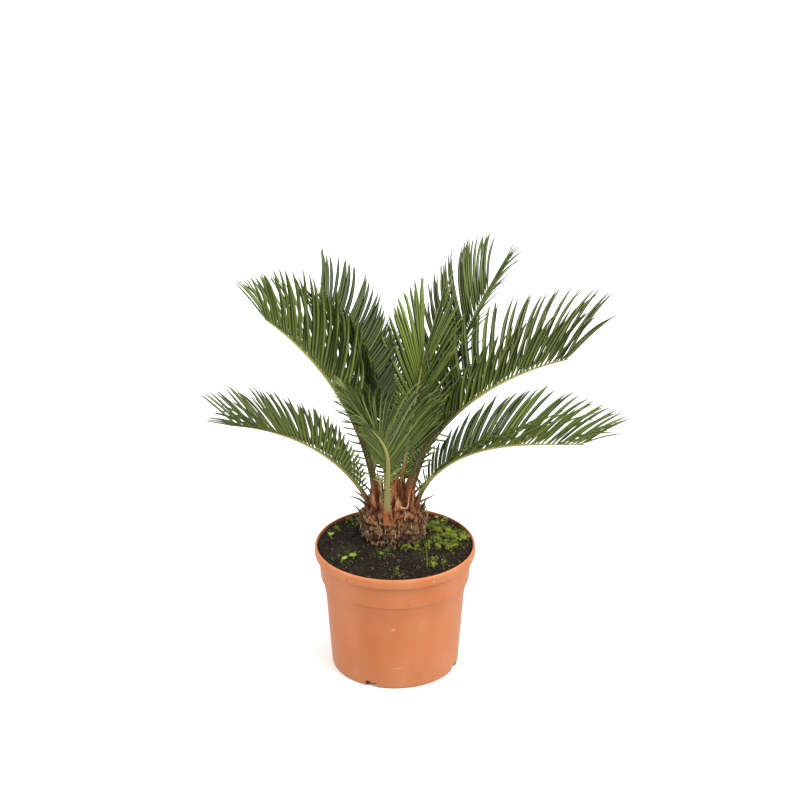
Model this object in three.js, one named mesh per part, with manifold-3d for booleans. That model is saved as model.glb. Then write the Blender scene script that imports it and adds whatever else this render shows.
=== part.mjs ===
// A young sago palm in a round nursery pot. Millimetres, +Z up, the origin at the centre
// of the pot's underside. The pot, the soil, the trunk and each frond are separate solids.

import * as THREE from 'three';
import { mergeVertices } from 'three/addons/utils/BufferGeometryUtils.js';
import Module from 'manifold-3d';

const wasm = await Module();
wasm.setup();

// Driving dimensions of the pot and the soil.
const POT_HEIGHT = 155;
const RIM_RADIUS = 95;
const FOOT_RADIUS = 75.5;
const WALL = 1.9;
const FLOOR_TOP = 5.6;
const COLLAR_HEIGHT = 115;
const RIM_FOOT = 142;
const NOTCH = { count: 4, first: -112, width: 13, height: 5.2, depth: 7 };
const SOIL_EDGE = 149;
const SOIL_CROWN = 158;

// Driving dimensions of the trunk: a squat bulb that stands a little behind the pot's axis.
const TRUNK = { x: -2, y: 15, foot: 35, belly: 42, bellyHeight: 177, top: 212.5 };
const BUTTS = { count: 40, low: 164, high: 199, width: 15, thickness: 10, length: 16, blunt: 0.68 };
const SCALES = { count: 14, radius: 28, height: 192, width: 9, thickness: 3.6, length: 33 };
const SPINES = { width: 2.4, length: 27, height: 187, azimuths: [-168, -148, -32, -14, 40, 97, 150] };

// Driving dimensions that all fronds share. Half sizes of the rib are given along its length.
const GAP = 0.3;
const SINK = 9;
const RIB = { at: [0, 0.1, 0.3, 0.6, 0.85, 1], side: [4.4, 3.8, 3, 2.2, 1.5, 0.9], deep: 0.85 };
const RIB_STEPS = 11;
const SOCKET_LENGTH = 46;
const PAIRS = 20;
const LEAFLET = { width: 8.2, thickness: 1.3, crowding: 0.8 };
const BLADE = { at: [0, 0.14, 0.52, 1], width: [0, 0.74, 1, 0] };
const SHORTER = [1, 0.82, 0.64, 0.45];
const GOLDEN_ANGLE = 137.508;

// The fronds. Angles are in degrees: azimuth and swing turn the rib, rise is its slope and roll
// its lean about itself at the foot, the middle and the tip. leaflet is the longest leaflet,
// spread its angle from the rib and lift the angle of the two rows' V, at the same three places.
// full is the share of the rib at which leaflets reach full length, tip what is left at its end.
const FRONDS = [
  { name: 'frond_01', foot: [-29, 17, 196], azimuth: 176, swing: 4,
    rise: [66, 30, 2], roll: [-10, 15, 0], length: 208, start: 0.1, full: 0.35,
    tip: 0.5, leaflet: 80, spread: [75, 55, 38], lift: [10, 32, 48],
    bend: 8, droop: 2 },
  { name: 'frond_02', foot: [-21, 16, 203], azimuth: 176, swing: 4,
    rise: [84, 61, 37], roll: [-45, 15, 15], length: 270, start: 0.12, full: 0.4,
    tip: 0.5, leaflet: 124, spread: [85, 60, 35], lift: [5, 40, 50],
    bend: 16, droop: 2 },
  { name: 'frond_03', foot: [-9, 22, 206], azimuth: 137, swing: 12,
    rise: [87, 71, 15], roll: [0, 5, 5], length: 252, start: 0.28, full: 1.1,
    tip: 1, leaflet: 80, spread: [95, 76, 70], lift: [15, 40, 55],
    bend: 20, droop: 2 },
  { name: 'frond_04', foot: [-4, 39, 200], azimuth: 95, swing: 0,
    rise: [68, 32, 5], roll: [0, 0, 0], length: 205, start: 0.16, full: 0.5,
    tip: 0.5, leaflet: 84, spread: [85, 60, 30], lift: [12, 50, 50],
    bend: 18, droop: 10 },
  { name: 'frond_05', foot: [-8, -18, 197], azimuth: -72, swing: -92,
    rise: [108, 52, 68], roll: [0, 0, 0], length: 245, start: 0.25, full: 0.3,
    tip: 0.4, leaflet: 86, spread: [50, 42, 16], lift: [25, 45, 45],
    bend: 4, droop: 6 },
  { name: 'frond_06', foot: [25, 13, 197], azimuth: -6, swing: 6,
    rise: [80, 16, 0], roll: [8, -8, -8], length: 240, start: 0.08, full: 0.6,
    tip: 0.7, leaflet: 82, spread: [75, 55, 40], lift: [20, 52, 70],
    bend: 18, droop: 6 },
  { name: 'frond_07', foot: [13, 16, 207], azimuth: 3, swing: -8,
    rise: [80, 42, 15], roll: [30, 0, 0], length: 272, start: 0.14, full: 0.4,
    tip: 0.8, leaflet: 105, spread: [75, 60, 45], lift: [12, 55, 60],
    bend: 24, droop: 4 },
  { name: 'frond_08', foot: [16, 30, 206], azimuth: 44, swing: 0,
    rise: [60, 62, 50], roll: [0, -4, 0], length: 262, start: 0.24, full: 0.7,
    tip: 0.6, leaflet: 115, spread: [75, 46, 30], lift: [24, 50, 38],
    bend: 26, droop: 20 },
  { name: 'frond_09', foot: [6, 24, 204], azimuth: 58, swing: 10,
    rise: [76, 69, 62], roll: [0, 8, 20], length: 181, start: 0.42, full: 0.42,
    tip: 0.7, leaflet: 98, spread: [46, 36, 24], lift: [15, 38, 40],
    bend: 6, droop: 6 },
];
const LEAF_ORDER = ['frond_09', 'frond_08', 'frond_05', 'frond_02', 'frond_07', 'frond_03',
  'frond_06', 'frond_01', 'frond_04'];

// Small helpers: angles, values along a length, and solids from geometries.
const radians = THREE.MathUtils.degToRad;

function between(values, places, at) {
  const last = places.length - 1;
  const index = places.findIndex((place, i) => i === last - 1 || at < places[i + 1]);
  const share = THREE.MathUtils.clamp((at - places[index]) / (places[index + 1] - places[index]), 0, 1);
  return THREE.MathUtils.lerp(values[index], values[index + 1], share);
}

function throughThree([first, middle, last], at) {
  return first * 2 * (at - 0.5) * (at - 1) - middle * 4 * at * (at - 1) + last * 2 * at * (at - 0.5);
}

function toSolid(geometry) {
  geometry.deleteAttribute('normal');
  geometry.deleteAttribute('uv');
  const merged = mergeVertices(geometry, 1e-4);
  const vertProperties = new Float32Array(merged.getAttribute('position').array);
  const triVerts = new Uint32Array(merged.getIndex().array);
  return new wasm.Manifold(new wasm.Mesh({ numProp: 3, vertProperties, triVerts }));
}

function toMesh(name, solid, look) {
  const data = solid.getMesh();
  const geometry = new THREE.BufferGeometry();
  geometry.setAttribute('position', new THREE.BufferAttribute(new Float32Array(data.vertProperties), 3));
  geometry.setIndex(new THREE.BufferAttribute(new Uint32Array(data.triVerts), 1));
  geometry.computeVertexNormals();
  const mesh = new THREE.Mesh(geometry, new THREE.MeshStandardMaterial({ ...look, flatShading: true }));
  mesh.name = name;
  return mesh;
}

function turned(profile, segments) {
  const points = profile.map(([radius, height]) => new THREE.Vector2(radius, height));
  return new THREE.LatheGeometry(points, segments).rotateX(Math.PI / 2);
}

function joined(solids) {
  return solids.reduce((all, one) => all.add(one));
}

function largestBody(solid) {
  const bodies = solid.decompose();
  return bodies.reduce((best, one) => (one.volume() > best.volume() ? one : best));
}

// The pot: a tapered wall with a crease at two heights, a turned rim band, and an underside
// that stands on a middle disc and an outer ring, with drain notches through the ring.
function outerWall() {
  return [
    [FOOT_RADIUS - 1.5, 0], [FOOT_RADIUS, 1.5],
    [FOOT_RADIUS + 6.5, COLLAR_HEIGHT - 24], [FOOT_RADIUS + 7.8, COLLAR_HEIGHT - 16],
    [FOOT_RADIUS + 11.5, COLLAR_HEIGHT - 2], [FOOT_RADIUS + 12.5, COLLAR_HEIGHT - 0.5],
    [RIM_RADIUS - 5.5, COLLAR_HEIGHT + 16], [RIM_RADIUS - 2.7, RIM_FOOT], [RIM_RADIUS - 1, RIM_FOOT + 0.5],
    [RIM_RADIUS, RIM_FOOT + 3.5], [RIM_RADIUS, POT_HEIGHT - 0.8], [RIM_RADIUS - 0.8, POT_HEIGHT],
  ];
}

function innerWall() {
  return [
    [RIM_RADIUS - WALL - 0.5, POT_HEIGHT], [RIM_RADIUS - WALL - 1, POT_HEIGHT - 1],
    [RIM_RADIUS - WALL - 1, RIM_FOOT + 3.5], [RIM_RADIUS - WALL - 5.6, COLLAR_HEIGHT + 16],
    [FOOT_RADIUS + 12.2 - WALL, COLLAR_HEIGHT], [FOOT_RADIUS + 6.3 - WALL, COLLAR_HEIGHT - 24],
    [FOOT_RADIUS - 0.1 - WALL, FLOOR_TOP],
  ];
}

function makePot() {
  const underside = [[0, 0], [30, 0], [31, 3], [FOOT_RADIUS - 9.5, 3], [FOOT_RADIUS - 8.5, 0]];
  const profile = [...underside, ...outerWall(), ...innerWall(), [0, FLOOR_TOP]];
  let pot = toSolid(turned(profile, 40));
  const { count, first, width, height, depth } = NOTCH;
  for (let i = 0; i < count; i++) {
    const cutter = new THREE.BoxGeometry(depth * 2, width, height * 2);
    cutter.translate(FOOT_RADIUS, 0, 0).rotateZ(radians(first + (360 / count) * i));
    pot = pot.subtract(toSolid(cutter));
  }
  return largestBody(pot);
}

// The soil fills the pot and rises gently to a flat seat under the trunk.
function makeSoil() {
  const side = innerWall().slice(2).map(([radius, height]) => [radius - GAP * 1.2, height]);
  side.reverse();
  side[0][1] = FLOOR_TOP + GAP;
  const edge = RIM_RADIUS - WALL - 1 - GAP * 1.2;
  const top = [[edge, SOIL_EDGE], [74, SOIL_EDGE + 2.5], [56, SOIL_CROWN], [0, SOIL_CROWN]];
  return toSolid(turned([[0, FLOOR_TOP + GAP], ...side, ...top], 40));
}

// A rib follows its frond's slope and azimuth; the table of points is added up once.
class Rib {
  constructor(frond) {
    this.frond = frond;
    this.steps = 240;
    this.points = [new THREE.Vector3(...frond.foot)];
    for (let i = 0; i < this.steps; i++) {
      const along = this.frame((i + 0.5) / this.steps).along;
      this.points.push(this.points[i].clone().addScaledVector(along, frond.length / this.steps));
    }
  }

  frame(at) {
    const { rise, azimuth, swing, roll } = this.frond;
    const here = Math.max(at, 0);
    const slope = radians(throughThree(rise, here));
    const turn = radians(azimuth + swing * here ** 1.5);
    const lean = radians(throughThree(roll, here));
    const along = new THREE.Vector3(Math.cos(slope) * Math.cos(turn),
      Math.cos(slope) * Math.sin(turn), Math.sin(slope));
    const flatUp = new THREE.Vector3(-Math.sin(slope) * Math.cos(turn),
      -Math.sin(slope) * Math.sin(turn), Math.cos(slope));
    const flatSide = new THREE.Vector3(-Math.sin(turn), Math.cos(turn), 0);
    const up = flatUp.clone().multiplyScalar(Math.cos(lean)).addScaledVector(flatSide, -Math.sin(lean));
    const side = flatSide.multiplyScalar(Math.cos(lean)).addScaledVector(flatUp, Math.sin(lean));
    return { along, up, side };
  }

  point(at) {
    if (at <= 0) {
      return this.points[0].clone().addScaledVector(this.frame(0).along, at * this.frond.length);
    }
    const place = Math.min(at * this.steps, this.steps - 1e-6);
    const index = Math.floor(place);
    return this.points[index].clone().lerp(this.points[index + 1], place - index);
  }

  halfSide(at) {
    const size = Math.sqrt(this.frond.length / 260);
    return size * between(RIB.side, RIB.at, Math.max(at, 0));
  }
}

// A six-sided tapered bar through the given places on a rib, grown all round by extra.
function ribSolid(rib, places, extra) {
  const geometry = new THREE.CylinderGeometry(1, 1, 1, 6, places.length - 1);
  const position = geometry.getAttribute('position');
  const offset = extra / Math.cos(Math.PI / 6);
  for (let i = 0; i < position.count; i++) {
    const at = places[Math.round((position.getY(i) + 0.5) * (places.length - 1))];
    const { side, up } = rib.frame(at);
    const half = rib.halfSide(at) + offset;
    const point = rib.point(at).addScaledVector(side, -position.getX(i) * half);
    point.addScaledVector(up, position.getZ(i) * ((half - offset) * RIB.deep + offset));
    position.setXYZ(i, point.x, point.y, point.z);
  }
  return toSolid(geometry);
}

function ribPlaces(frond) {
  const places = [-SINK / frond.length, 0];
  for (let i = 1; i <= RIB_STEPS; i++) {
    places.push(i / RIB_STEPS);
  }
  return places;
}

function socketSolid(rib) {
  const { length } = rib.frond;
  const places = ribPlaces(rib.frond).filter((at) => (at - 1 / RIB_STEPS) * length < SOCKET_LENGTH);
  places[0] -= GAP / length;
  return ribSolid(rib, places, GAP);
}

// A leaflet: a thin curved blade with a keel under its middle line. grown is the clearance
// that a stand-in for tests keeps around it, and share is the part of its length that is kept.
function leafletSolid(leaf, share, grown) {
  const line = leafletLine(leaf, leaf.length * share + grown, 50);
  const stations = BLADE.at.map((at, i) => new THREE.Vector2(BLADE.width[i] > 0 ? 1 : 0, i));
  const geometry = new THREE.LatheGeometry(stations, 3);
  const position = geometry.getAttribute('position');
  for (let i = 0; i < position.count; i++) {
    const station = Math.round(position.getY(i));
    const { point, along } = line[Math.round(BLADE.at[station] * 50)];
    const placed = point.clone();
    if (BLADE.width[station] > 0) {
      const half = leaf.width * BLADE.width[station] / 2 + grown;
      const under = leaf.over.clone().negate().addScaledVector(along, leaf.over.dot(along)).normalize();
      const across = new THREE.Vector3().crossVectors(along, under);
      const keel = (position.getZ(i) + 0.5) / 1.5;
      placed.addScaledVector(across, position.getX(i) / Math.sin(Math.PI / 3) * half);
      placed.addScaledVector(under, keel * (LEAFLET.thickness + 2 * grown) - grown);
    }
    position.setXYZ(i, placed.x, placed.y, placed.z);
  }
  return toSolid(geometry);
}

// The leaflet's middle line bends toward the frond's tip and droops off its upper side.
function leafletLine(leaf, length, steps) {
  const line = [{ point: leaf.root.clone(), along: leaf.along.clone() }];
  const along = leaf.along.clone();
  const point = leaf.root.clone();
  for (let i = 0; i < steps; i++) {
    const growing = 2 * (i + 0.5) / steps ** 2;
    const bend = radians(leaf.bend) * growing;
    const droop = radians(leaf.droop) * growing;
    along.multiplyScalar(Math.cos(bend)).addScaledVector(leaf.forward, Math.sin(bend));
    along.multiplyScalar(Math.cos(droop)).addScaledVector(leaf.over, -Math.sin(droop));
    point.addScaledVector(along, length / steps);
    line.push({ point: point.clone(), along: along.clone().normalize() });
  }
  return line;
}

// The two rows of leaflets on a rib, from the foot to the tip.
function leafletsOf(rib) {
  const { frond } = rib;
  const { start, full, tip, spread, lift, bend, droop } = frond;
  const pitch = (1 - start) * frond.length / PAIRS;
  const leaflets = [];
  for (let i = 0; i < PAIRS; i++) {
    const share = (i + 0.5) / PAIRS;
    const at = start + (0.995 - start) * share;
    const { along, up, side } = rib.frame(at);
    const angle = radians(throughThree(spread, share));
    const raised = radians(throughThree(lift, share));
    const swell = 0.12 + 0.88 * Math.sin(Math.PI / 2 * Math.min(1, share / full));
    const fade = 1 - (1 - tip) * Math.max(0, (share - 0.5) / 0.5) ** 2;
    for (const hand of [1, -1]) {
      const wing = side.clone().multiplyScalar(hand * Math.cos(raised));
      wing.addScaledVector(up, Math.sin(raised));
      const out = along.clone().multiplyScalar(Math.cos(angle));
      out.addScaledVector(wing, Math.sin(angle));
      const forward = along.clone().addScaledVector(out, -along.dot(out)).normalize();
      const over = new THREE.Vector3().crossVectors(out, forward).multiplyScalar(hand);
      over.multiplyScalar(Math.sign(over.dot(up)) || 1);
      const inset = rib.halfSide(at) * 0.8;
      leaflets.push({
        root: rib.point(at).addScaledVector(out, -inset), along: out, forward, over, bend, droop,
        length: frond.leaflet * swell * fade + inset,
        width: Math.min(LEAFLET.width, LEAFLET.crowding * pitch * Math.sin(angle)),
      });
    }
  }
  return leaflets;
}

// A four-sided spike or a blunt stub along a direction, its base at a point.
function spikeSolid(base, direction, { width, thickness = width, length, blunt = 0 }) {
  const spike = new THREE.CylinderGeometry(blunt, 1, length, 4, 1).translate(0, length / 2, 0);
  spike.scale(width / 2, 1, thickness / 2);
  const outward = new THREE.Vector3(base.x - TRUNK.x, base.y - TRUNK.y, 0).normalize();
  const across = new THREE.Vector3().crossVectors(direction, outward).normalize();
  const through = new THREE.Vector3().crossVectors(across, direction);
  spike.applyMatrix4(new THREE.Matrix4().makeBasis(across, direction, through).setPosition(base));
  return toSolid(spike);
}

function outwardSpike(azimuth, radius, height, slope, size) {
  const turn = radians(azimuth);
  const base = new THREE.Vector3(TRUNK.x + radius * Math.cos(turn),
    TRUNK.y + radius * Math.sin(turn), height);
  const tilt = radians(slope);
  const direction = new THREE.Vector3(Math.cos(tilt) * Math.cos(turn), Math.cos(tilt) * Math.sin(turn),
    Math.sin(tilt));
  return spikeSolid(base, direction, size);
}

// The trunk: a bulb under an armour of dead leaf bases, with woolly scales and a few bare
// spines round the crown, and a socket round the foot of each rib.
function bulbProfile() {
  const { foot, belly, bellyHeight, top } = TRUNK;
  const seat = SOIL_CROWN + GAP;
  return [
    [0, seat - 2], [foot - 1, seat - 2], [foot + 3, seat + 4], [belly - 1.5, bellyHeight - 7],
    [belly, bellyHeight], [belly - 1.5, bellyHeight + 8], [belly - 5, bellyHeight + 15],
    [belly - 11, top - 14.5], [belly - 19, top - 9], [belly - 29, top - 3.5],
    [belly - 38, top - 0.5], [0, top],
  ];
}

function bulbRadius(height) {
  const side = bulbProfile().slice(1, -1);
  return between(side.map((point) => point[0]), side.map((point) => point[1]), height);
}

function makeTrunk(ribs) {
  const pieces = [toSolid(turned(bulbProfile(), 26).translate(TRUNK.x, TRUNK.y, 0))];
  for (let i = 0; i < BUTTS.count; i++) {
    const share = i / (BUTTS.count - 1);
    const height = THREE.MathUtils.lerp(BUTTS.low, BUTTS.high, share);
    const slope = THREE.MathUtils.lerp(22, 64, share);
    pieces.push(outwardSpike(i * GOLDEN_ANGLE, bulbRadius(height) - 9, height - 4, slope, BUTTS));
  }
  for (let i = 0; i < SCALES.count; i++) {
    const inner = i % 2;
    const azimuth = (360 / SCALES.count) * i;
    const radius = SCALES.radius - 11 * inner;
    const height = SCALES.height + 8 * inner;
    const size = { ...SCALES, length: SCALES.length - 5 * inner };
    pieces.push(outwardSpike(azimuth, radius, height, 70 + 10 * inner, size));
  }
  for (const azimuth of SPINES.azimuths) {
    pieces.push(outwardSpike(azimuth, TRUNK.belly - 8, SPINES.height, 24, SPINES));
  }
  const below = new THREE.BoxGeometry(4 * TRUNK.belly, 4 * TRUNK.belly, 2 * TRUNK.foot);
  below.translate(TRUNK.x, TRUNK.y, SOIL_CROWN + GAP - TRUNK.foot);
  const removed = [toSolid(below), ...ribs.map((rib) => socketSolid(rib))];
  return largestBody(joined(pieces).subtract(joined(removed)));
}

// Leaflets that would touch another piece are shortened, and skipped where that isn't enough.
function boxesMeet(a, b) {
  return [0, 1, 2].every((axis) => a.min[axis] <= b.max[axis] && b.min[axis] <= a.max[axis]);
}

function growLeaflets(rib, taken) {
  const kept = [];
  for (const leaf of leafletsOf(rib)) {
    for (const share of SHORTER) {
      const stand = leafletSolid(leaf, share, GAP + 0.1);
      const box = stand.boundingBox();
      const near = taken.filter((other) => other.frond !== rib.frond && boxesMeet(box, other.box));
      if (near.every((other) => stand.intersect(other.solid).isEmpty())) {
        kept.push(leafletSolid(leaf, share, 0));
        break;
      }
    }
  }
  for (const solid of kept) {
    taken.push({ frond: rib.frond, solid, box: solid.boundingBox() });
  }
  return kept;
}

const ribs = FRONDS.map((frond) => new Rib(frond));
const pot = makePot();
const soil = makeSoil();
const trunk = makeTrunk(ribs);
const bars = ribs.map((rib) => ribSolid(rib, ribPlaces(rib.frond), 0));
const taken = [pot, soil, trunk].map((solid) => ({ frond: null, solid, box: solid.boundingBox() }));
ribs.forEach((rib, i) => taken.push({ frond: rib.frond, solid: bars[i], box: bars[i].boundingBox() }));

const plant = new THREE.Group();
plant.name = 'potted_sago_palm';
plant.add(toMesh('pot', pot, { color: 0xd6895a, roughness: 0.45, metalness: 0 }));
plant.add(toMesh('soil', soil, { color: 0x2e241c, roughness: 0.95, metalness: 0 }));
plant.add(toMesh('trunk', trunk, { color: 0x8a6a48, roughness: 0.9, metalness: 0 }));
for (const name of LEAF_ORDER) {
  const index = FRONDS.findIndex((frond) => frond.name === name);
  const blade = largestBody(joined([bars[index], ...growLeaflets(ribs[index], taken)]));
  plant.add(toMesh(name, blade, { color: 0x55702c, roughness: 0.5, metalness: 0 }));
}

export default plant;
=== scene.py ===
import math
import random

import bmesh
import bpy
import numpy as np
from mathutils import Matrix, Vector, noise


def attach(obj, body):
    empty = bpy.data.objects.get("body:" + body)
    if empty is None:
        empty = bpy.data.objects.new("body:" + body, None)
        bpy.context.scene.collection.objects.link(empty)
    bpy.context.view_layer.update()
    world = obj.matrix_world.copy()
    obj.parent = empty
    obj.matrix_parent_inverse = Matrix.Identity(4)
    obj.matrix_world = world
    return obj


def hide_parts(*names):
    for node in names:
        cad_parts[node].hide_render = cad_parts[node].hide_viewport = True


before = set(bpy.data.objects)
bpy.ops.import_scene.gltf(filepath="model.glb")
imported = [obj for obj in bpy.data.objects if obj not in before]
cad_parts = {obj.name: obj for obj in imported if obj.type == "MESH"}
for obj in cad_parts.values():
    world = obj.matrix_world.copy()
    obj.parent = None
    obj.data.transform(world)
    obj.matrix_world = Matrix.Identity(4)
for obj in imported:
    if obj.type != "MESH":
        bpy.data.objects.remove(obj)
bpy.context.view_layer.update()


# The stage: matt white paper that the pot stands on, seen from a little above through a long
# lens, in an even room with soft daylight from the right, a weaker one left and one overhead.

MM = 0.001
CAMERA_PLACE = (5.9 * MM, -2519 * MM, 1466.3 * MM)
CAMERA_DIP = math.radians(24.1)
LENS = 108
SENSOR_WIDTH = 36
PAPER_SIZE = 30.0
PAPER_WHITE = "#F7F7F6"
PAPER_BOUNCE = "#A8A8A6"
ROOM_STRENGTH = 0.85
DAYLIGHT_AIM = (0, 0, 0.22)
# Each daylight's place in metres, its spread in degrees and its strength.
DAYLIGHTS = {
    "daylight_right": ((1.5, -0.9, 1.5), 40, 2.5),
    "daylight_left": ((-1.9, -0.9, 1.5), 40, 1.3),
    "daylight_top": ((0.1, 0.3, 2.6), 60, 1.4),
}


def linear(hex_colour):
    channels = [int(hex_colour[i:i + 2], 16) / 255 for i in (1, 3, 5)]
    return [c / 12.92 if c <= 0.04045 else ((c + 0.055) / 1.055) ** 2.4 for c in channels] + [1.0]


def new_material(name, colour, **sockets):
    material = bpy.data.materials.new(name)
    material.use_nodes = True
    shader = material.node_tree.nodes["Principled BSDF"]
    shader.inputs["Base Color"].default_value = linear(colour)
    for socket, value in sockets.items():
        shader.inputs[socket.replace("_", " ")].default_value = value
    material.diffuse_color = linear(colour)
    return material


def add_node(material, kind, sockets=None, links=None, **settings):
    added = material.node_tree.nodes.new(kind)
    for name, value in settings.items():
        setattr(added, name, value)
    for name, value in (sockets or {}).items():
        added.inputs[name].default_value = value
    for name, source in (links or {}).items():
        material.node_tree.links.new(source, added.inputs[name])
    return added


def link_shader(material, **links):
    shader = material.node_tree.nodes["Principled BSDF"]
    for name, source in links.items():
        material.node_tree.links.new(source, shader.inputs[name.replace("_", " ")])


def blend_colours(material, share, first, second):
    links = {0: share}
    sockets = {}
    for socket, colour in ((6, first), (7, second)):
        if isinstance(colour, str):
            sockets[socket] = linear(colour)
        else:
            links[socket] = colour
    mixed = add_node(material, "ShaderNodeMix", sockets, links, data_type="RGBA")
    return mixed.outputs[2]


def new_piece(name, mesh, materials):
    for material in materials:
        mesh.materials.append(material)
    piece = bpy.data.objects.new(name, mesh)
    bpy.context.scene.collection.objects.link(piece)
    return piece


def mesh_from(name, bm):
    mesh = bpy.data.meshes.new(name)
    bm.to_mesh(mesh)
    bm.free()
    return mesh


# Paper: white to the eye, but it throws back only part of the light, as a sheet cut close to
# the pot would, so the undersides of the leaves stay dark.
def matt_paper():
    paper = new_material("matt_paper", PAPER_WHITE, Roughness=0.9)
    seen = add_node(paper, "ShaderNodeLightPath").outputs["Is Camera Ray"]
    link_shader(paper, Base_Color=blend_colours(paper, seen, PAPER_BOUNCE, PAPER_WHITE))
    return paper


def lay_paper():
    bm = bmesh.new()
    bmesh.ops.create_grid(bm, x_segments=2, y_segments=2, size=PAPER_SIZE / 2)
    new_piece("paper", mesh_from("paper", bm), [matt_paper()])


def hang_lights():
    room = bpy.data.worlds.new("room")
    room.use_nodes = True
    room.node_tree.nodes["Background"].inputs["Color"].default_value = (1, 1, 1, 1)
    room.node_tree.nodes["Background"].inputs["Strength"].default_value = ROOM_STRENGTH
    bpy.context.scene.world = room
    for name, (place, softness, strength) in DAYLIGHTS.items():
        light = bpy.data.lights.new(name, "SUN")
        light.angle = math.radians(softness)
        light.energy = strength
        lamp = bpy.data.objects.new(name, light)
        lamp.location = place
        aim = Vector(DAYLIGHT_AIM) - Vector(place)
        lamp.rotation_euler = aim.to_track_quat("-Z", "Y").to_euler()
        bpy.context.scene.collection.objects.link(lamp)


def set_camera():
    camera = bpy.data.cameras.new("camera")
    camera.lens = LENS
    camera.sensor_width = SENSOR_WIDTH
    camera.clip_end = 50
    stand = bpy.data.objects.new("camera", camera)
    stand.location = CAMERA_PLACE
    stand.rotation_euler = (math.pi / 2 - CAMERA_DIP, 0, 0)
    bpy.context.scene.collection.objects.link(stand)
    bpy.context.scene.camera = stand
    bpy.context.scene.view_settings.view_transform = "Standard"


lay_paper()
hang_lights()
set_camera()


# The pot: a thin-walled grower's pot of terracotta-coloured polypropylene, moulded in one shot,
# with a turned-out rim band, a stepped collar and ragged drain notches at its foot.

POT_HEIGHT = 155
RIM_RADIUS = 95
FOOT_RADIUS = 75.5
WALL = 1.9
FLOOR_TOP = 5.6
COLLAR_HEIGHT = 115
RIM_FOOT = 141.8
POT_TURNS = 160
NOTCHES = {"count": 4, "first": -112, "width": 15, "height": 6.5, "depth": 14, "ragged": 3}
POT_ORANGE = "#BE6C37"
POT_PALE = "#C67A4C"
POT_DUST = "#C79A7C"
# Rubs and nicks got on the way: place, half size across, outward and up, and colour.
POT_MARKS = [
    ((-2, -82, 83), (3, 4, 2.4), "#D9A888"), ((45, -84, 148), (1.6, 4, 0.8), "#E2B79B"),
    ((-56, -77, 146), (1.6, 4, 1.4), "#7A4228"), ((16, -88, 118), (1.8, 4, 1.0), "#8A4E30"),
    ((4, -78, 29), (7, 4, 0.5), "#E0B294"), ((-30, 84, 60), (6, 4, 0.6), "#D9A888"),
    ((70, 45, 92), (2, 2, 3), "#D9A888"),
]
# Without a seed the noise vectors start from the clock.
noise.seed_set(5)


def object_place(material):
    return add_node(material, "ShaderNodeTexCoord").outputs["Object"]


def drawn_up(material, place, share):
    """The place with its height shrunk to a share, which draws a pattern on it upward."""
    return add_node(material, "ShaderNodeMapping", {"Scale": (1, 1, share)},
                    {"Vector": place}).outputs["Vector"]


def mottling(material, place, scale, **sockets):
    return add_node(material, "ShaderNodeTexNoise", {"Scale": scale, **sockets},
                    {"Vector": place}).outputs["Fac"]


def relief_of(material, height, strength, depth):
    return add_node(material, "ShaderNodeBump", {"Strength": strength, "Distance": depth},
                    {"Height": height}).outputs["Normal"]


def reckon(material, operation, *terms):
    """Arithmetic on sockets and plain numbers, by a Math node."""
    numbers = {i: term for i, term in enumerate(terms) if isinstance(term, float)}
    sources = {i: term for i, term in enumerate(terms) if i not in numbers}
    return add_node(material, "ShaderNodeMath", numbers, sources, operation=operation).outputs[0]


def spread_out(material, value, low, high, to_low=0.0, to_high=1.0):
    sockets = {"From Min": low, "From Max": high, "To Min": to_low, "To Max": to_high}
    return add_node(material, "ShaderNodeMapRange", sockets, {"Value": value}).outputs["Result"]


def smooth_all(mesh, angle):
    mesh.polygons.foreach_set("use_smooth", [True] * len(mesh.polygons))
    mesh.set_sharp_from_angle(angle=math.radians(angle))


# Polypropylene: satin and slightly waxy, with faint flow streaks a few centimetres long, a
# bloom of dust toward the foot, and short pale rub marks.
def moulded_polypropylene():
    plastic = new_material("moulded_polypropylene", POT_ORANGE, Roughness=0.42, IOR=1.49,
                           Sheen_Weight=0.2, Sheen_Roughness=0.4)
    place = object_place(plastic)
    flow = mottling(plastic, drawn_up(plastic, place, 0.35), 26, Detail=4, Roughness=0.55)
    rubs = mottling(plastic, place, 95, Detail=6, Roughness=0.7, Distortion=0.6)
    grain = mottling(plastic, place, 900, Detail=3)
    height = add_node(plastic, "ShaderNodeSeparateXYZ", links={"Vector": place}).outputs["Z"]
    dusty = reckon(plastic, "MULTIPLY", spread_out(plastic, height, 0.05, 0.0, 0.0, 0.3), rubs)
    rubbed = spread_out(plastic, rubs, 0.66, 0.74, 0.0, 0.35)
    colour = blend_colours(plastic, spread_out(plastic, flow, 0.35, 0.68), POT_ORANGE, POT_PALE)
    colour = blend_colours(plastic, dusty, colour, POT_DUST)
    colour = blend_colours(plastic, rubbed, colour, POT_DUST)
    for middle, half, tint in POT_MARKS:
        apart = add_node(plastic, "ShaderNodeVectorMath", {1: Vector(middle) * MM}, {0: place},
                         operation="SUBTRACT")
        shares = add_node(plastic, "ShaderNodeVectorMath", {1: Vector(half) * MM},
                          {0: apart.outputs["Vector"]}, operation="DIVIDE")
        far = add_node(plastic, "ShaderNodeVectorMath", links={0: shares.outputs["Vector"]},
                       operation="LENGTH").outputs["Value"]
        far = reckon(plastic, "ADD", far, grain)
        colour = blend_colours(plastic, spread_out(plastic, far, 1.7, 0.9, 0, 0.6), colour, tint)
    link_shader(plastic, Base_Color=colour, Normal=relief_of(plastic, grain, 0.12, 0.0002),
                Roughness=spread_out(plastic, flow, 0.3, 0.7, 0.44, 0.58))
    return plastic


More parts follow.
